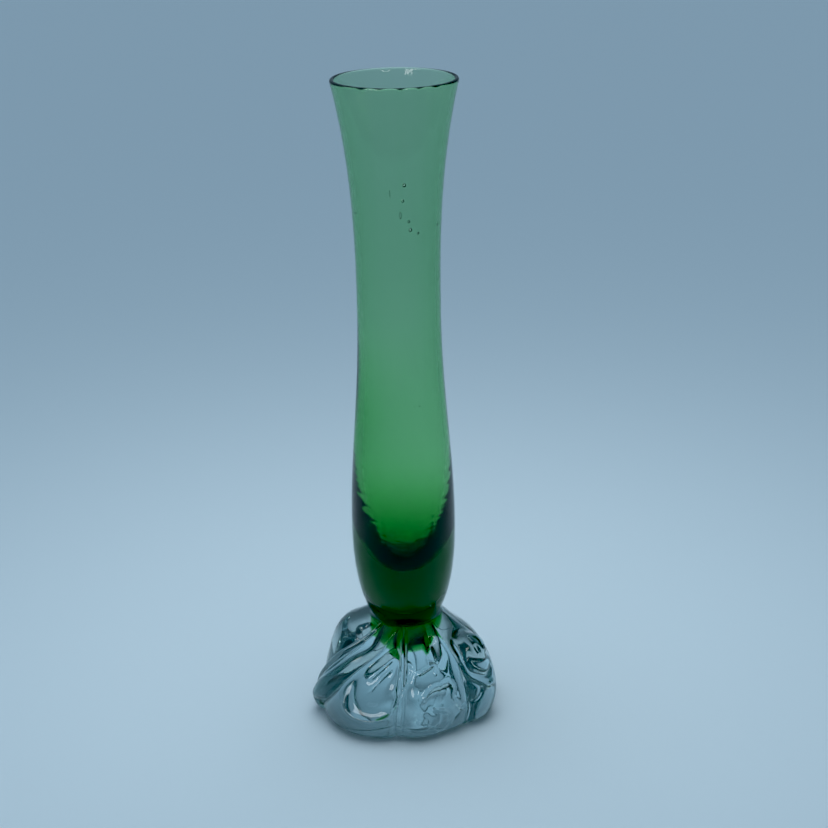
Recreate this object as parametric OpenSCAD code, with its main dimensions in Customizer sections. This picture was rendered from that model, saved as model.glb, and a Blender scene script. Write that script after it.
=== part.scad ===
// Bud vase of two fused gathers of glass: a slender blown green vessel with a
// thick solid base, and a clear foot tooled into swirled lobes around the plug
// at the vessel's lower end. Millimetres, +Z up; the origin is the centre of
// the ground base.

/* [Vessel] */
// Overall height, from the ground base to the rim
vase_h = 200; // [180:1:220]
// Outer radius of the rim
rim_r = 18.45; // [17:0.05:20]
// Outer radius at the waist, the slimmest point of the stem
waist_r = 12.5; // [11.5:0.1:13.5]
// Height of the waist
waist_z = 134; // [125:1:145]
// Outer radius of the belly
belly_r = 16.1; // [15:0.1:18]
// Height of the belly's widest point
belly_z = 63; // [58:1:70]
// Outer radius where the vessel enters the foot
neck_r = 10.1; // [9:0.1:11]
// How far the rounded plug reaches down into the foot
plug_depth = 18; // [12:0.5:22]

/* [Bore] */
// Wall thickness at the rim
rim_wall = 1.3; // [1.1:0.1:2]
// Wall thickness at the waist
waist_wall = 1.6; // [1.4:0.1:2.4]
// Wall thickness where the bore starts to close into its well
well_wall = 2.3; // [1.9:0.1:3.5]
// Height at which the bore starts to close into its well
well_z = 89; // [80:1:100]
// Height of the well's rounded floor
bore_floor_z = 48.6; // [44:0.2:54]

/* [Foot] */
// Radius of the foot at the crest of a middling lobe
foot_r = 30; // [27:0.5:34]
// Height of the foot
foot_h = 31.4; // [30:0.1:34]
// Depth of the deepest crease between lobes
crease_depth = 4; // [2:0.2:5]
// Radius of the ground pontil hollow in the base
pontil_r = 8; // [5:0.5:12]
// Depth of the ground pontil hollow
pontil_depth = 0.8; // [0.4:0.1:1.5]

/* [Hidden] */

// Height of the foot's joint line on the vessel
neck_z = foot_h - 0.4;
// Height of the middle of the rim's half round
rim_z = vase_h - rim_wall / 2;
// Steps along each stretch of a profile
profile_steps = 10;
// Angle of a facet round the foot, and rings between neighbouring crest points
facet_angle = 3.8;
ring_steps = 4;

// Lobes of the foot, anticlockwise. Each starts at a crease, given by its angle
// at the neck, its angle at the rim and its share of crease_depth; then come how
// far the crest swells outward and how far it lifts. Close pairs of creases
// pinch narrow ribs between them.
lobe_table = [
    [-43, -46, 0.80, 0.5, -0.5],
    [12, -10, 0.80, -1.2, -2.2],
    [58, 36, 0.70, -1.0, 0],
    [98, 78, 0.75, -1.6, 0],
    [132, 116, 0.80, -3.0, 2.4],
    [222, 176, 1.00, -1.0, -0.6],
    [230, 184, 0.95, 1.2, 0.4],
    [260, 200, 0.60, 1.2, -0.3],
    [265, 262, 0.80, -1.6, 0],
    [272, 267, 0.70, -1.0, 0],
    [300, 290, 0.30, -1.8, 0.3]
];
lobes = len(lobe_table);
// Meridian of a crest, from the neck to the base, as shares of foot_r and foot_h
crest_shares = [
    [0.380, 1.000], [0.567, 0.872], [0.783, 0.726], [0.933, 0.510],
    [1.000, 0.255], [0.965, 0.070], [0.880, 0.000]
];
// Share of the crease depth, the swell and the lift at each of those points
depth_shares = [0.20, 0.45, 0.75, 1.00, 1.00, 0.85, 0.70];
swell_shares = [0.00, 0.10, 0.50, 1.00, 1.00, 1.00, 1.00];
lift_shares = [0.00, 0.60, 1.00, 0.80, 0.30, 0.00, 0.00];
// Inner point that the creases sink towards: [radius, height]
crease_focus = [8, 6];
// Place down the meridian at which the swirl is complete
swirl_end = 4.5;

// Broad marks of the tool: depth (negative where the glass is raised), how steep
// the edge is, the radius at the start and at the end, and the way it runs as
// points of [angle, place down the meridian]
tool_marks = [
    // Tear-drop hollow in the big front lobe
    [2.5, 5, 1.2, 8.0, [[259, 1.3], [255, 1.9], [249, 2.6], [246, 3.05]]],
    // Pits at the neck, right and left
    [1.6, 3, 1.8, 2.3, [[299, 1.0], [295, 1.6]]],
    [1.0, 3, 1.6, 1.9, [[213, 0.45], [208, 0.8]]],
    // Flat and swelling of the front right lobe
    [0.7, 4, 3.0, 3.0, [[292, 3.25], [296, 3.3]]],
    [-0.8, 2, 2.6, 3.2, [[276, 3.2], [278, 3.8]]],
    // Round knob on the right, and the fold under it
    [-1.8, 4, 4.3, 4.3, [[338, 1.80], [341, 1.92]]],
    [1.0, 2, 1.4, 1.6, [[322, 2.0], [321, 2.45], [324, 2.75], [333, 3.1], [342, 3.0]]]
];

function mix(a, b, t) = a + (b - a) * t;
function ease(t) = t * t * (3 - 2 * t);
function share(low, high, value) = min(1, max(0, (value - low) / (high - low)));

// Cubic through p1 and p2, shaped by the points on either side
function spline(p0, p1, p2, p3, t) =
    p1 + 0.5 * t * (p2 - p0 + t * (2 * p0 - 5 * p1 + 4 * p2 - p3
    + t * (3 * (p1 - p2) + p3 - p0)));
function along(list, u) =
    let (last = len(list) - 1, i = min(floor(u), last - 1))
    spline(list[max(i - 1, 0)], list[i], list[i + 1], list[min(i + 2, last)], u - i);

// Outer radius of the vessel above the neck: a superellipse up to the belly,
// an eased taper up to the waist, then a flare to the rim
belly_power = 2.4;
belly_half = (belly_z - neck_z)
    / pow(1 - pow(neck_r / belly_r, belly_power), 1 / belly_power);
function outer_r(z) =
    z < belly_z
    ? belly_r * pow(1 - pow((belly_z - z) / belly_half, belly_power), 1 / belly_power)
    : z < waist_z
    ? mix(waist_r, belly_r, ease(pow((waist_z - z) / (waist_z - belly_z), 1.12)))
    : mix(waist_r, rim_r, pow((z - waist_z) / (rim_z - waist_z), 2.55));

// Wall thickness, before the bore closes into its well
function wall(z) =
    z < waist_z
    ? mix(well_wall, waist_wall, ease(share(well_z, waist_z, z)))
    : mix(waist_wall, rim_wall, (z - waist_z) / (rim_z - waist_z));

// Outline of the plug, from its tip up to the neck
plug_line = [for (i = [0:profile_steps])
    let (a = 90 * i / profile_steps)
    [neck_r * pow(sin(a), 0.9), neck_z - plug_depth * cos(a)]];

function heights(low, high, n) = [for (i = [0:n]) mix(low, high, i / n)];
belly_heights = heights(neck_z, belly_z, profile_steps);
stem_heights = heights(belly_z, waist_z, profile_steps);
flare_heights = heights(waist_z, rim_z, profile_steps);
function skip_first(list) = [for (i = [1:len(list) - 1]) list[i]];
outer_line = [for (z = concat(skip_first(belly_heights), skip_first(stem_heights),
    skip_first(flare_heights))) [outer_r(z), z]];

// Fire-polished rim: a half round between the two walls
rim_mid = [rim_r - rim_wall / 2, rim_z];
rim_line = [for (a = [30:30:150]) rim_mid + rim_wall / 2 * [cos(a), sin(a)]];

// Bore: the wall's inner face down to well_z, then the rounded well
bore_top = heights(rim_z, waist_z, profile_steps);
bore_low = skip_first(heights(waist_z, well_z, profile_steps));
bore_line = concat(
    [for (z = concat(bore_top, bore_low)) [outer_r(z) - wall(z), z]],
    [for (i = [1:2 * profile_steps])
        let (a = 90 * i / (2 * profile_steps), z = well_z - (well_z - bore_floor_z) * sin(a))
        [(outer_r(z) - wall(z)) * pow(cos(a), 0.84), z]]);

// Point of a lobe's plain crest at place u down the meridian, in section and in space
function crest_point(u) =
    let (line = along(crest_shares, u)) [line[0] * foot_r, line[1] * foot_h];
function in_space(p, angle) = [p[0] * cos(angle), p[0] * sin(angle), p[1]];

// Depth of the tool marks at a point of the plain crest surface
function total(list, i = 0) = i < len(list) ? list[i] + total(list, i + 1) : 0;
mark_samples = [for (mark = tool_marks)
    let (way = mark[4], last = len(way) - 1)
    [for (k = [0:3 * last])
        let (place = along(way, k / 3))
        concat(in_space(crest_point(place[1]), place[0]),
            mix(mark[2], mark[3], k / (3 * last)))]];
function off_mark(point, sample) =
    norm(point - [sample[0], sample[1], sample[2]]) / sample[3];
function mark_depth(point) = total([for (i = [0:len(tool_marks) - 1])
    let (nearest = min([for (sample = mark_samples[i]) off_mark(point, sample)]))
    tool_marks[i][0] * exp(-pow(nearest, tool_marks[i][1]))]);

// Angle of crease i with t of the swirl done, and the rounding of a lobe at share w
function crease(i) = lobe_table[i % lobes];
function crease_angle(i, t) = mix(crease(i)[0], crease(i)[1], t) + (i >= lobes ? 360 : 0);
function bulge(w) = pow(1 - pow(abs(2 * w - 1), 2.2), 0.6);
function lobe_steps(i) = max(4, round(max(
    crease_angle(i + 1, 0) - crease_angle(i, 0),
    crease_angle(i + 1, 1) - crease_angle(i, 1)) / facet_angle));

// Point of the foot's skin: u runs down the meridian, i is the lobe, w the
// share of the way across it
function foot_point(u, i, w) =
    let (
        crest = crest_point(u),
        turn = share(0, swirl_end, u),
        angle = mix(crease_angle(i, turn), crease_angle(i + 1, turn), w),
        fade = ease(share(0.1, 0.5, u)) * ease(share(6, 5.4, u)),
        sunk = mix(crease(i)[2], crease(i + 1)[2], w) * crease_depth
            * along(depth_shares, u) * (1 - bulge(w))
            + mark_depth(in_space(crest, angle)) * fade,
        inward = (crease_focus - crest) / norm(crease_focus - crest),
        grown = [crease(i)[3] * along(swell_shares, u), crease(i)[4] * along(lift_shares, u)],
        moved = crest + sunk * inward + grown * bulge(w),
        z = u == 0 ? foot_h : u >= 6 ? 0 : min(foot_h, max(0, moved[1]))
    )
    in_space([moved[0], z], angle);

// Skin of the foot as one closed polyhedron, its rings starting at the neck
module foot_skin() {
    rings = ring_steps * (len(crest_shares) - 1);
    spots = [for (i = [0:lobes - 1]) for (j = [0:lobe_steps(i) - 1])
        let (w = j / lobe_steps(i))
        [i, mix(w, (1 - cos(180 * w)) / 2, 0.6)]];
    around = len(spots);
    points = [for (k = [0:rings]) for (spot = spots)
        foot_point(k / ring_steps, spot[0], spot[1])];
    side = [for (k = [0:rings - 1]) for (m = [0:around - 1])
        let (a = k * around + m, b = k * around + (m + 1) % around)
        each [[a, b, b + around], [a, b + around, a + around]]];
    // Both ends are fans of triangles round a point on the axis
    last = rings * around;
    middle = len(points);
    ends = [for (m = [0:around - 1])
        let (b = (m + 1) % around)
        each [[b, m, middle], [last + m, last + b, middle + 1]]];
    polyhedron(
        points = concat(points, [[0, 0, foot_h], [0, 0, 0]]),
        faces = concat(side, ends));
}

// Everything inside the vessel's outer face, the bore filled in
module vessel_blank() {
    rotate_extrude($fn = 96)
        polygon(concat(plug_line, outer_line, [[0, rim_z]]));
}

module vessel() {
    color([0.16, 0.55, 0.30, 0.6])
        rotate_extrude($fn = 96)
            polygon(concat(plug_line, outer_line, rim_line, bore_line));
}

module foot() {
    pontil_ball_r = (pontil_r * pontil_r + pontil_depth * pontil_depth) / (2 * pontil_depth);
    color([0.75, 0.85, 0.90, 0.5])
        difference() {
            foot_skin();
            vessel_blank();
            translate([0, 0, pontil_depth - pontil_ball_r]) sphere(pontil_ball_r, $fn = 96);
        }
}

vessel();
foot();
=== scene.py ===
"""Glass bud vase: a blown green vessel fused into a clear foot of tooled, swirled lobes."""
import math

import bpy
import numpy as np
from mathutils import Matrix, Vector


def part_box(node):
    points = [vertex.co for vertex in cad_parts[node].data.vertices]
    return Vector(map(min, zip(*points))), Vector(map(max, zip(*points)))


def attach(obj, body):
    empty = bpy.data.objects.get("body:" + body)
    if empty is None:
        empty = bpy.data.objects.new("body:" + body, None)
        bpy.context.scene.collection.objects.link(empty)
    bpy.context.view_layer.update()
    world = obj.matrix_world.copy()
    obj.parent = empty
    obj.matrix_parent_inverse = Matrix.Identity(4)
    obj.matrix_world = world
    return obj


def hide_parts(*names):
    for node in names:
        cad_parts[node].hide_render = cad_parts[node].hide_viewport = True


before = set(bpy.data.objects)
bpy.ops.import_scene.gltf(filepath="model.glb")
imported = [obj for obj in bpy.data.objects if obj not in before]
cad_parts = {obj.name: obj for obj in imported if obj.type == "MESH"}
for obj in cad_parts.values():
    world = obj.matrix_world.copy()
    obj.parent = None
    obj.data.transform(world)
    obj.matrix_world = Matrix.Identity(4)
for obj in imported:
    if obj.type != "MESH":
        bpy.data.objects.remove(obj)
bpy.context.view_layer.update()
MM = 0.001

# Sizes that the frame gives, in millimetres
vessel_low, vessel_high = (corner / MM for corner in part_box("vessel"))
VASE_H = vessel_high.z
RIM_R = vessel_high.x
PLUG_TIP_Z = vessel_low.z
FOOT_H = (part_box("foot")[1] / MM).z

# The vessel: waist, belly, neck and walls
WAIST_R, WAIST_Z = 12.5, 134.0
BELLY_R, BELLY_Z = 16.1, 63.0
NECK_R, NECK_Z = 10.1, FOOT_H - 0.4
RIM_WALL, WAIST_WALL, WELL_WALL = 1.3, 1.6, 2.3
RIM_Z = VASE_H - RIM_WALL / 2
# How full the belly, the taper above it, the flare and the plug are
BELLY_POWER, TAPER_POWER, FLARE_POWER, PLUG_POWER = 2.4, 1.12, 2.55, 0.9
BELLY_HALF = (BELLY_Z - NECK_Z) / (1 - (NECK_R / BELLY_R) ** BELLY_POWER) ** (1 / BELLY_POWER)

# The bore: its rounded well, its drift off the axis, and the marks of blowing
WELL_Z, BORE_FLOOR_Z = 89.0, 48.6
WELL_POWER = 0.42
DRIFT = 0.35
RIPPLE = 0.008
RIPPLE_WAVES = 18
RIPPLE_SEED = 11
# Streaks up the bore: angle, half width in degrees and depth
STREAKS = [
    (-84, 2.4, 0.16), (-104, 3.5, 0.08), (-122, 4.0, 0.10), (-66, 3.0, 0.09), (-48, 4.0, 0.07),
    (98, 5.0, 0.10), (76, 3.0, 0.07), (160, 6.0, 0.05), (20, 5.0, 0.05),
]
# Bubbles caught in the vessel: angle, height, depth under the outside, radius, how far drawn out
BUBBLES = [
    (280, 172.0, 0.9, 0.55, 1.1), (278, 167.4, 0.9, 0.42, 1.1), (286, 161.2, 0.9, 0.40, 1.2),
    (288, 158.7, 0.9, 0.55, 1.0), (275, 163.2, 0.9, 0.32, 3.4), (299, 157.5, 0.9, 0.36, 1.2),
    (203, 162.3, 0.7, 0.30, 1.0), (336, 158.4, 0.7, 0.30, 1.6), (262, 169.5, 1.0, 0.16, 7.0),
    (250, 64.2, 1.0, 0.16, 1.0), (260, 65.5, 1.1, 0.18, 1.0), (261, 61.0, 1.0, 0.20, 1.0),
    (300, 63.5, 1.0, 0.16, 1.0), (304, 63.8, 1.2, 0.16, 1.4), (236, 53.8, 1.0, 0.20, 1.0),
    (293, 54.4, 1.1, 0.20, 1.0), (295, 51.0, 1.3, 0.16, 1.0), (340, 52.3, 0.9, 0.18, 1.0),
    (70, 96.0, 1.0, 0.22, 1.3), (118, 58.0, 1.2, 0.20, 1.0), (35, 143.0, 0.9, 0.20, 1.6),
]

# The foot. Its skin is laid out by an angle round the axis and a place u down the meridian,
# from 0 at the neck to 6 at the base. FOOT_R is the radius of a plain crest, before a lobe's own
# swell, so it isn't read off the foot's box.
FOOT_R = 29.9
CREASE_DEPTH = 4.0
PONTIL_R, PONTIL_DEPTH = 8.0, 0.8
JOINT_GAP = 0.02
# Place down the meridian where the swirl stops turning
SWIRL_END = 4.5
# Each lobe: the crease that starts it (angle at the neck, angle at the rim, depth share),
# and how far its crest swells outward and lifts
LOBES = [
    (-43, -46, 0.80, 0.5, -0.5), (12, -10, 0.80, -1.2, -2.2), (58, 36, 0.70, -1.0, 0.0),
    (98, 78, 0.75, -1.6, 0.0), (132, 116, 0.80, -3.0, 2.4), (222, 176, 1.00, -1.0, -0.6),
    (230, 184, 0.95, 1.2, 0.4), (260, 200, 0.60, 1.2, -0.3), (265, 262, 0.80, -1.6, 0.0),
    (272, 267, 0.70, -1.0, 0.0), (300, 290, 0.30, -1.8, 0.3),
]
# Meridian of a crest, as shares of FOOT_R and FOOT_H, and how creases and swell come in along it
CREST = np.array([
    (0.380, 1.000), (0.567, 0.872), (0.783, 0.726), (0.933, 0.510),
    (1.000, 0.255), (0.965, 0.070), (0.880, 0.000),
])
DEPTH_SHARES = np.array([0.20, 0.45, 0.75, 1.00, 1.00, 0.85, 0.70])
SWELL_SHARES = np.array([0.00, 0.10, 0.50, 1.00, 1.00, 1.00, 1.00])
LIFT_SHARES = np.array([0.00, 0.60, 1.00, 0.80, 0.30, 0.00, 0.00])
# Radius and height of the point that creases and tool marks sink toward
CREASE_FOCUS = np.array([8.0, 6.0])
# How square and how full a lobe is across
LOBE_SQUARE, LOBE_FULL = 2.2, 0.6
# Tool marks: depth (negative for a raised one), how steep its edge is, its radius at the start
# and at the end, and the way it runs as (angle, u)
MARKS = [
    (2.5, 5.0, 1.2, 8.0, [(259, 1.3), (255, 1.9), (249, 2.6), (246, 3.05)]),
    (1.1, 1.3, 0.5, 0.5, [(263, 0.9), (265, 1.8), (266, 2.7), (263, 3.3), (259, 3.7)]),
    (0.8, 1.3, 0.4, 0.4, [(268, 1.1), (270, 1.8), (269, 2.55), (264, 3.25), (260, 3.7)]),
    (0.4, 1.6, 0.4, 0.5, [(271, 1.6), (275, 1.9), (273, 2.3), (270, 2.5)]),
    (1.6, 3.0, 1.8, 2.3, [(299, 1.0), (295, 1.6)]),
    (-0.7, 1.4, 0.5, 0.5, [(279, 2.25), (287, 2.05), (294, 1.85)]),
    (-0.5, 1.4, 0.4, 0.4, [(294, 1.85), (294, 2.1), (292, 2.35)]),
    (-1.0, 1.4, 0.6, 0.6, [(280, 3.3), (283, 3.05), (288, 2.83), (294, 2.76), (302, 2.85)]),
    (-0.9, 1.4, 0.5, 0.5, [
        (302, 2.80), (303, 3.1), (302, 3.4), (305, 3.75), (308, 3.95), (313, 3.8),
    ]),
    (0.7, 4.0, 3.0, 3.0, [(292, 3.25), (296, 3.3)]),
    (-0.8, 2.0, 2.6, 3.2, [(276, 3.2), (278, 3.8)]),
    (0.7, 1.4, 0.5, 0.5, [
        (287, 3.6), (293, 3.75), (298, 4.05), (298, 4.5), (293, 5.0), (289, 4.7), (290, 4.3),
    ]),
    (-0.8, 1.4, 0.5, 0.5, [
        (229, 3.2), (230, 3.6), (234, 3.87), (242, 4.03), (250, 4.03), (258, 3.8), (262, 3.4),
    ]),
    (-1.8, 4.0, 4.3, 4.3, [(338, 1.80), (341, 1.92)]),
    (0.5, 2.0, 0.9, 0.9, [(334, 2.0), (334, 2.1)]),
    (0.9, 1.6, 0.6, 0.9, [
        (325, 1.2), (322, 2.0), (321, 2.45), (324, 2.75), (333, 3.1), (342, 3.0),
    ]),
    (-0.6, 1.6, 0.7, 0.9, [(318, 2.0), (319, 2.8), (329, 3.4), (339, 3.45)]),
    (0.6, 1.4, 0.5, 0.6, [(318, 2.9), (324, 3.35), (321, 3.7), (316, 3.8)]),
    (1.0, 3.0, 1.6, 1.9, [(213, 0.45), (208, 0.8)]),
    (0.4, 1.4, 0.5, 0.5, [(224, 1.2), (216, 2.2), (208, 2.9), (198, 3.5)]),
    (-0.35, 1.4, 0.4, 0.5, [(257, 1.4), (250, 1.9), (243, 2.4)]),
    (-0.35, 1.4, 0.4, 0.5, [(258, 1.8), (251, 2.3), (244, 2.95)]),
    (0.4, 1.4, 0.5, 0.5, [
        (222, 5.1), (238, 4.85), (250, 4.6), (262, 4.4), (276, 4.6), (288, 4.5),
    ]),
]

# Glass: the colour that absorption leaves, and how dense it is
GLASS_IOR = 1.5
GREEN = ((0.157, 0.714, 0.20), 350.0)
CLEAR = ((0.40, 0.62, 0.64), 25.0)

# Fineness of the meshes, and how much a lobe's points crowd toward its creases
PLUG_STEPS = 24
TURN_STEPS = 288
LOBE_STEPS_PER_DEGREE = 1.5
LOBE_CROWDING = 0.6
RING_STEPS = 20

# Floor, a little below the base so that the two faces don't meet
FLOOR_SIZE = 200.0
FLOOR_Z = -0.0003
FLOOR_COLOUR = (0.80, 0.84, 0.86)

# Studio, and how its light changes along each axis: from and to where, and its strength there
WORLD_COLOUR = (0.334, 0.478, 0.61)
WORLD_FALLS = [
    ("Y", -0.6, 0.2, 0.35, 1.0), ("Z", 0.2, 1.0, 0.50, 1.65), ("X", 0.1, 0.9, 1.0, 0.40),
]

# Soft windows, seen only in the glass: place, width, height and power
WINDOW_COLOUR = (1, 1, 1)
WINDOWS = [
    ((-0.45, -0.55, 0.55), 0.35, 0.30, 1.5), ((0.22, -0.50, 0.50), 0.16, 0.10, 0.25),
]

# Soft key lamp above the floor, which the glass doesn't show
KEY_PLACE = (0, 0.02, 0.29)
KEY_SIZE = (0.24, 0.28)
KEY_POWER = 0.38
KEY_COLOUR = (0.80, 0.94, 1.0)

# Camera
CAMERA_LENS = 72.6
CAMERA_DISTANCE = 0.475
CAMERA_HEIGHT = 0.279
CAMERA_SIDE = 0.0039
CAMERA_PITCH = 20.85
CAMERA_ROLL = -1.05

# Light below this is black, as in a contrasty exposure
BLACK_LEVEL = (0.021, 0.019, 0.023)

# How often light may cross or bounce off the glass, and a cap on stray bright samples
GLASS_BOUNCES = 24
GLOSSY_BOUNCES = 12
BRIGHT_CAP = 6.0


def mix(a, b, t):
    return a + (b - a) * t


def ease(t):
    return t * t * (3 - 2 * t)


def share(low, high, value):
    return np.clip((value - low) / (high - low), 0, 1)


def along(values, u):
    """Cubic through a list of numbers or points, at position u counted in list steps."""
    values = np.asarray(values, float)
    last = len(values) - 1
    i = np.minimum(np.floor(u).astype(int), last - 1)
    t = u - i
    if values.ndim > 1:
        t = t[..., None]
    p0, p1 = values[np.maximum(i - 1, 0)], values[i]
    p2, p3 = values[i + 1], values[np.minimum(i + 2, last)]
    curve = 2 * p0 - 5 * p1 + 4 * p2 - p3 + t * (3 * (p1 - p2) + p3 - p0)
    return p1 + 0.5 * t * (p2 - p0 + t * curve)


# Meshes --------------------------------------------------------------------

def closed_mesh(name, rings, bend, bubbles=()):
    """A closed mesh from rings of points, shape (k, m, 3).

    The rings run from a bottom pole up the outside and then down inside to an inner pole. Each
    ring has the same number of points and the two poles are rings of one repeated point.
    `bend` holds a value for each band between rings: 0 where the glass meets the other gather.
    `bubbles` are small closed hollows inside: centre, radius and half height.
    """
    inner = rings[1:-1]
    count, around = inner.shape[:2]
    points = np.vstack([rings[0][:1], inner.reshape(-1, 3), rings[-1][:1]]) * MM
    m = np.arange(around)
    after = (m + 1) % around
    faces = np.column_stack([0 * m, 1 + after, 1 + m]).tolist()
    for k in range(count - 1):
        a, b = 1 + k * around, 1 + (k + 1) * around
        faces += np.column_stack([a + m, a + after, b + after, b + m]).tolist()
    end = 1 + (count - 1) * around
    faces += np.column_stack([end + m, end + after, 0 * m + len(points) - 1]).tolist()
    values = np.repeat(np.asarray(bend, np.float32), around)
    for centre, radius, half in bubbles:
        hollow, hollow_faces = bubble(centre, radius, half)
        faces += (hollow_faces + len(points)).tolist()
        values = np.concatenate([values, np.ones(len(hollow_faces), np.float32)])
        points = np.vstack([points, hollow * MM])
    mesh = bpy.data.meshes.new(name)
    mesh.from_pydata(points.tolist(), [], faces)
    mesh.polygons.foreach_set("use_smooth", np.ones(len(faces), bool))
    mesh.attributes.new("bend", "FLOAT", "FACE").data.foreach_set("value", values)
    mesh.update()
    piece = bpy.data.objects.new(name, mesh)
    bpy.context.scene.collection.objects.link(piece)
    return piece


def bubble(centre, radius, half):
    """Points and inward triangles of a small hollow ball, drawn out upward."""
    rows, around = 7, 12
    down = np.linspace(0, math.pi, rows + 1)[1:-1, None]
    turn = np.linspace(0, 2 * math.pi, around, endpoint=False)
    across, up = np.sin(down), np.cos(down) + 0 * turn
    ball = np.stack([across * np.cos(turn), across * np.sin(turn), up], axis=-1)
    points = np.vstack([[0, 0, 1], ball.reshape(-1, 3), [0, 0, -1]])
    points = points * (radius, radius, half) + centre
    m = np.arange(around)
    after = (m + 1) % around
    faces = [np.column_stack([0 * m, 1 + after, 1 + m])]
    for k in range(rows - 2):
        a, b = 1 + k * around, 1 + (k + 1) * around
        faces.append(np.column_stack([a + m, a + after, b + after]))
        faces.append(np.column_stack([a + m, b + after, b + m]))
    end = 1 + (rows - 2) * around
    faces.append(np.column_stack([end + m, end + after, 0 * m + len(points) - 1]))
    return points, np.vstack(faces)


def turned(outline, angles):
    """Rings of points from a half section and the angles round the axis."""
    r, z = outline[:, :1], outline[:, 1:]
    return np.stack([r * np.cos(angles), r * np.sin(angles), z + 0 * angles], axis=-1)


# Vessel --------------------------------------------------------------------

def outer_r(z):
    """Outer radius of the vessel at a height above the neck."""
    down = share(BELLY_Z, BELLY_Z - BELLY_HALF, z)
    below = BELLY_R * (1 - down ** BELLY_POWER) ** (1 / BELLY_POWER)
    middle = mix(WAIST_R, BELLY_R, ease(share(WAIST_Z, BELLY_Z, z) ** TAPER_POWER))
    above = mix(WAIST_R, RIM_R, share(WAIST_Z, RIM_Z, z) ** FLARE_POWER)
    return np.where(z < BELLY_Z, below, np.where(z < WAIST_Z, middle, above))


def wall(z):
    """Wall thickness, before the bore narrows into its well."""
    low = mix(WELL_WALL, WAIST_WALL, ease(share(WELL_Z, WAIST_Z, z)))
    return np.where(z < WAIST_Z, low, mix(WAIST_WALL, RIM_WALL, share(WAIST_Z, RIM_Z, z)))


def bore_r(z):
    """Radius of the bore, closing to a rounded floor below WELL_Z."""
    return (outer_r(z) - wall(z)) * (1 - share(WELL_Z, BORE_FLOOR_Z, z) ** 2) ** WELL_POWER


def plug_line(swell=0.0):
    """Half section of the plug from its tip up to the neck, grown outward by `swell`."""
    a = np.linspace(0, math.pi / 2, PLUG_STEPS + 1)
    r = NECK_R * np.sin(a) ** PLUG_POWER
    z = NECK_Z - (NECK_Z - PLUG_TIP_Z) * np.cos(a)
    return np.column_stack([r + swell * np.sin(a), z - swell * np.cos(a)])


def outside_line():
    """Half section of the outside above the foot, and over the fire-polished rim."""
    z = np.concatenate([np.linspace(FOOT_H, WAIST_Z, 150), np.linspace(WAIST_Z, RIM_Z, 90)[1:]])
    a = np.radians(np.arange(12, 180, 12))
    half = RIM_WALL / 2
    rim = np.column_stack([RIM_R - half * (1 - np.cos(a)), RIM_Z + half * np.sin(a)])
    return np.vstack([np.column_stack([outer_r(z), z]), rim])


def bore_line():
    """Half section of the bore, from the rim down to its floor."""
    turn = np.linspace(0, math.pi / 2, 150)[1:]
    well = WELL_Z - (WELL_Z - BORE_FLOOR_Z) * np.sin(turn)
    z = np.concatenate([np.linspace(RIM_Z, WELL_Z, 160), well])
    return np.column_stack([bore_r(z), z])


def bore_marks(angles, z):
    """How far the bore's face stands off a turned one: ripples low down, streaks up the stem."""
    low = ease(share(104, 84, z)) * ease(share(BORE_FLOOR_Z, BORE_FLOOR_Z + 8, z))
    chance = np.random.default_rng(RIPPLE_SEED)
    ripple = 0 * z
    for _ in range(RIPPLE_WAVES):
        turns = chance.integers(-11, 12)
        pitch = chance.uniform(1.3, 4.5)
        start = chance.uniform(0, 6.28)
        ripple = ripple + np.sin(turns * angles + 2 * math.pi * z / pitch + start)
    ripple = RIPPLE * low * ripple / 3
    streak = 0 * angles
    for place, width, depth in STREAKS:
        off = (np.degrees(angles) - place + 180) % 360 - 180
        streak = streak + depth * np.exp(-(off / width) ** 2)
    return ripple - streak * ease(share(52, 75, z))


def build_vessel():
    """The green body: plug, outside, rim and bore in one skin, with its bubbles inside."""
    angles = np.linspace(0, 2 * math.pi, TURN_STEPS, endpoint=False)
    lines = (plug_line(), outside_line(), bore_line())
    plug, outside, bore = (turned(line, angles) for line in lines)
    plug[0, :, :2] = 0
    z = bore[..., 2]
    around = np.broadcast_to(angles, z.shape)
    moved = bore_marks(around, z) * share(0, 3, np.hypot(bore[..., 0], bore[..., 1]))
    bore[..., 0] += moved * np.cos(around)
    bore[..., 1] += moved * np.sin(around)
    bore[..., 0] += DRIFT * ease(share(48, 62, z)) * ease(share(128, 95, z))
    bore[-1, :, :2] = bore[-1, :, :2].mean(axis=0)
    rings = np.concatenate([plug, outside, bore])
    bend = np.ones(len(rings) - 1)
    bend[:len(plug)] = 0
    seeds = []
    for angle, height, inset, radius, drawn in BUBBLES:
        r = float(outer_r(np.array(height))) - inset
        centre = (r * math.cos(math.radians(angle)), r * math.sin(math.radians(angle)), height)
        seeds.append((centre, radius, radius * drawn))
    return closed_mesh("vessel_glass", rings, bend, seeds)


# Foot ----------------------------------------------------------------------

def in_space(section, angle):
    """Points in space from (radius, height) pairs and their angles round the axis."""
    r, z = section[..., 0], section[..., 1]
    return np.stack([r * np.cos(angle), r * np.sin(angle), z], axis=-1)


def crest_line(u):
    """Radius and height of a lobe's plain crest at places down the meridian."""
    return along(CREST, u) * np.array([FOOT_R, FOOT_H])


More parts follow.
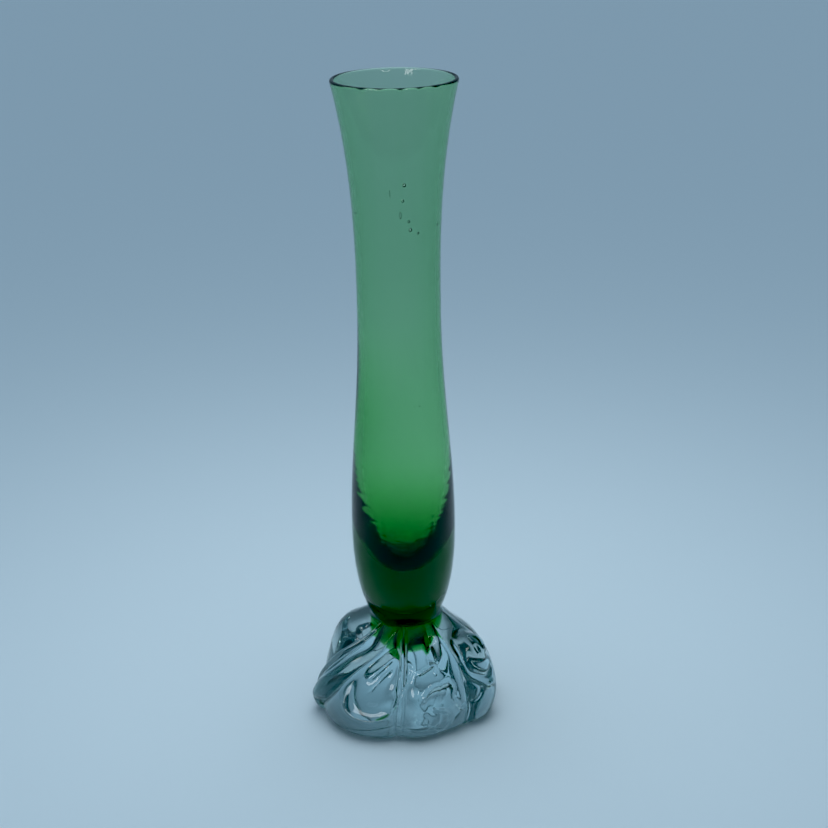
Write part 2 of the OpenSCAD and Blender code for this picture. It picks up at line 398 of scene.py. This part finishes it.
def mark_depth(points):
    """Depth of all the tool marks at points of the crest surface."""
    total = np.zeros(points.shape[:-1])
    for depth, steep, start, stop, way in MARKS:
        s = np.linspace(0, 1, 16 * (len(way) - 1) + 1)
        line = along(way, s * (len(way) - 1))
        line = in_space(crest_line(line[:, 1]), np.radians(line[:, 0]))
        ends = np.minimum(1, 8 * s * (1 - s)) if steep < 2 else 1 + 0 * s
        reach = 6 * max(start, stop)
        low, high = line.min(axis=0) - reach, line.max(axis=0) + reach
        close = np.all((points > low) & (points < high), axis=-1)
        near = np.zeros(close.sum())
        for place, radius, full in zip(line, mix(start, stop, s), ends):
            off = np.linalg.norm(points[close] - place, axis=-1) / radius
            near = np.maximum(near, full * np.exp(-off ** steep))
        total[close] += depth * near
    return total


def foot_skin():
    """Rings of the foot's lobed skin, from the neck to the base, and the angle of each point."""
    neck, rim, crease, swell, lift = (np.array(column, float) for column in zip(*LOBES))
    lobes = len(LOBES)
    after = (np.arange(lobes) + 1) % lobes
    turn_on = np.where(after == 0, 360, 0)
    spans = np.maximum(neck[after] - neck, rim[after] - rim) + turn_on
    i, w = [], []
    for lobe, span in enumerate(spans):
        steps = max(8, round(span * LOBE_STEPS_PER_DEGREE))
        for j in range(steps):
            i.append(lobe)
            w.append(mix(j / steps, (1 - math.cos(math.pi * j / steps)) / 2, LOBE_CROWDING))
    i, w = np.array(i), np.array(w)
    last = len(CREST) - 1
    rings = last * RING_STEPS + 1
    u = np.broadcast_to(np.linspace(0, last, rings)[:, None], (rings, len(i)))
    turn = np.clip(u / SWIRL_END, 0, 1)
    start = mix(neck[i], rim[i], turn)
    stop = mix(neck[after[i]], rim[after[i]], turn) + turn_on[i]
    angle = np.radians(mix(start, stop, w))
    bulge = (1 - np.abs(2 * w - 1) ** LOBE_SQUARE) ** LOBE_FULL
    crest = crest_line(u)
    fade = ease(share(0.1, 0.5, u)) * ease(share(last, last - 0.6, u))
    sunk = mix(crease[i], crease[after[i]], w) * CREASE_DEPTH * along(DEPTH_SHARES, u) * (1 - bulge)
    sunk = sunk + mark_depth(in_space(crest, angle)) * fade
    inward = CREASE_FOCUS - crest
    inward = inward / np.linalg.norm(inward, axis=-1, keepdims=True)
    moved = crest + sunk[..., None] * inward
    moved[..., 0] += swell[i] * along(SWELL_SHARES, u) * bulge
    moved[..., 1] += lift[i] * along(LIFT_SHARES, u) * bulge
    moved[0, :, 1] = FOOT_H
    moved[-1, :, 1] = 0
    moved[..., 1] = np.clip(moved[..., 1], 0, FOOT_H)
    return in_space(moved, angle), angle[0]


def underside(edge):
    """Rings of the base from its edge in, then of the ground hollow in its middle."""
    edge_r = np.hypot(edge[:, 0], edge[:, 1])
    way = edge[:, :2] / edge_r[:, None]
    flat = [np.column_stack([way * mix(PONTIL_R, edge_r, s)[:, None], 0 * edge_r])
            for s in np.linspace(1, 0, 12)[1:]]
    ball = (PONTIL_R ** 2 + PONTIL_DEPTH ** 2) / (2 * PONTIL_DEPTH)
    sunk = ball - PONTIL_DEPTH
    hollow = [np.column_stack([way * r, 0 * edge_r + math.sqrt(ball ** 2 - r ** 2) - sunk])
              for r in np.linspace(PONTIL_R, 0, 10)[1:]]
    return np.stack(flat + hollow)


def build_foot():
    """The clear foot: base, lobed skin and the socket round the plug in one skin."""
    skin, angles = foot_skin()
    lip_z = np.linspace(NECK_Z, FOOT_H, 4)[1:]
    lip = np.column_stack([outer_r(lip_z) + JOINT_GAP, lip_z])
    socket = turned(np.vstack([plug_line(JOINT_GAP), lip]), angles)
    rings = np.concatenate([underside(skin[-1])[::-1], skin[::-1], socket[::-1]])
    bend = np.ones(len(rings) - 1)
    bend[-(len(socket) - 1):] = 0
    return closed_mesh("foot_glass", rings, bend)


# Materials -----------------------------------------------------------------

def glass(name, colour, density):
    """Clear shell with plain absorption inside; light doesn't bend where glass meets glass."""
    mat = bpy.data.materials.new(name)
    mat.use_nodes = True
    tree = mat.node_tree
    shader = tree.nodes["Principled BSDF"]
    shader.inputs["Base Color"].default_value = (1, 1, 1, 1)
    shader.inputs["Roughness"].default_value = 0.0
    shader.inputs["IOR"].default_value = GLASS_IOR
    shader.inputs["Transmission Weight"].default_value = 1.0
    bend = tree.nodes.new("ShaderNodeAttribute")
    bend.attribute_name = "bend"
    index = tree.nodes.new("ShaderNodeMath")
    index.operation = "MULTIPLY_ADD"
    index.inputs[1].default_value = GLASS_IOR - 1
    index.inputs[2].default_value = 1.0
    tree.links.new(bend.outputs["Fac"], index.inputs[0])
    tree.links.new(index.outputs["Value"], shader.inputs["IOR"])
    volume = tree.nodes.new("ShaderNodeVolumeAbsorption")
    volume.inputs["Color"].default_value = (*colour, 1)
    volume.inputs["Density"].default_value = density
    tree.links.new(volume.outputs["Volume"], tree.nodes["Material Output"].inputs["Volume"])
    return mat


# Stage, light and camera ---------------------------------------------------

def build_floor():
    """Wide pale matt surface that the vase stands on."""
    mesh = bpy.data.meshes.new("floor")
    size, z = FLOOR_SIZE, FLOOR_Z
    corners = [(-size, -size, z), (size, -size, z), (size, size, z), (-size, size, z)]
    mesh.from_pydata(corners, [], [(0, 1, 2, 3)])
    floor = bpy.data.objects.new("floor", mesh)
    bpy.context.scene.collection.objects.link(floor)
    mat = bpy.data.materials.new("floor")
    mat.use_nodes = True
    shader = mat.node_tree.nodes["Principled BSDF"]
    shader.inputs["Roughness"].default_value = 0.9
    shader.inputs["Specular IOR Level"].default_value = 0.1
    shader.inputs["Base Color"].default_value = (*FLOOR_COLOUR, 1)
    mesh.materials.append(mat)


def build_world():
    """Soft bluish studio, dimmer on the camera's side."""
    world = bpy.data.worlds.new("studio")
    bpy.context.scene.world = world
    world.use_nodes = True
    tree = world.node_tree
    back = tree.nodes["Background"]
    place = tree.nodes.new("ShaderNodeTexCoord")
    split = tree.nodes.new("ShaderNodeSeparateXYZ")
    tree.links.new(place.outputs["Generated"], split.inputs[0])
    parts = []
    for axis, low, high, dim, full in WORLD_FALLS:
        part = tree.nodes.new("ShaderNodeMapRange")
        part.interpolation_type = "SMOOTHSTEP"
        part.inputs["From Min"].default_value = low
        part.inputs["From Max"].default_value = high
        part.inputs["To Min"].default_value = dim
        part.inputs["To Max"].default_value = full
        tree.links.new(split.outputs[axis], part.inputs["Value"])
        parts.append(part)
    strength = parts[0].outputs["Result"]
    for part in parts[1:]:
        product = tree.nodes.new("ShaderNodeMath")
        product.operation = "MULTIPLY"
        tree.links.new(strength, product.inputs[0])
        tree.links.new(part.outputs["Result"], product.inputs[1])
        strength = product.outputs["Value"]
    tree.links.new(strength, back.inputs["Strength"])
    back.inputs["Color"].default_value = (*WORLD_COLOUR, 1)


def area(name, place, width, depth, power, colour):
    """A rectangular lamp facing down, hidden from the camera."""
    lamp = bpy.data.lights.new(name, "AREA")
    lamp.shape = "RECTANGLE"
    lamp.size, lamp.size_y = width, depth
    lamp.energy = power
    lamp.color = colour
    obj = bpy.data.objects.new(name, lamp)
    obj.location = place
    obj.visible_camera = False
    bpy.context.scene.collection.objects.link(obj)
    return obj


def build_lights():
    """A key lamp that only lights the floor, and windows that only the glass shows."""
    key = area("key", KEY_PLACE, *KEY_SIZE, KEY_POWER, KEY_COLOUR)
    key.visible_glossy = False
    key.visible_transmission = False
    for k, (place, width, height, power) in enumerate(WINDOWS):
        window = area(f"window_{k}", place, width, height, power, WINDOW_COLOUR)
        way = Vector((0, 0, FOOT_H / 2 * MM)) - Vector(place)
        window.rotation_euler = way.to_track_quat("-Z", "Y").to_euler()
        window.visible_diffuse = False


def build_camera():
    """The reference view: from a little above, looking down at the vase."""
    data = bpy.data.cameras.new("camera")
    data.sensor_width = 36.0
    data.lens = CAMERA_LENS
    data.clip_start = 0.01
    camera = bpy.data.objects.new("camera", data)
    camera.location = (CAMERA_SIDE, -CAMERA_DISTANCE, CAMERA_HEIGHT)
    tilt = Matrix.Rotation(math.radians(90 - CAMERA_PITCH), 4, "X")
    roll = Matrix.Rotation(math.radians(CAMERA_ROLL), 4, "Z")
    camera.rotation_euler = (tilt @ roll).to_euler()
    bpy.context.scene.collection.objects.link(camera)
    bpy.context.scene.camera = camera


def set_render():
    """Plain view transform, and enough bounces for light to cross the glass."""
    scene = bpy.context.scene
    scene.view_settings.view_transform = "Standard"
    scene.view_settings.use_curve_mapping = True
    scene.view_settings.curve_mapping.black_level = BLACK_LEVEL
    scene.view_settings.curve_mapping.update()
    scene.cycles.max_bounces = GLASS_BOUNCES
    scene.cycles.transmission_bounces = GLASS_BOUNCES
    scene.cycles.glossy_bounces = GLOSSY_BOUNCES
    scene.cycles.transparent_max_bounces = GLASS_BOUNCES
    scene.cycles.sample_clamp_indirect = BRIGHT_CAP


def place_piece(piece, node, slot, colour, density):
    """Give a piece its glass, hang it under the root body, and hide the frame's part named by node.
    """
    piece.data.materials.append(glass(slot, colour, density))
    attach(piece, "root")
    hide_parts(node)


place_piece(build_vessel(), "vessel", "green_glass", *GREEN)
place_piece(build_foot(), "foot", "clear_glass", *CLEAR)
build_floor()
build_world()
build_lights()
build_camera()
set_render()
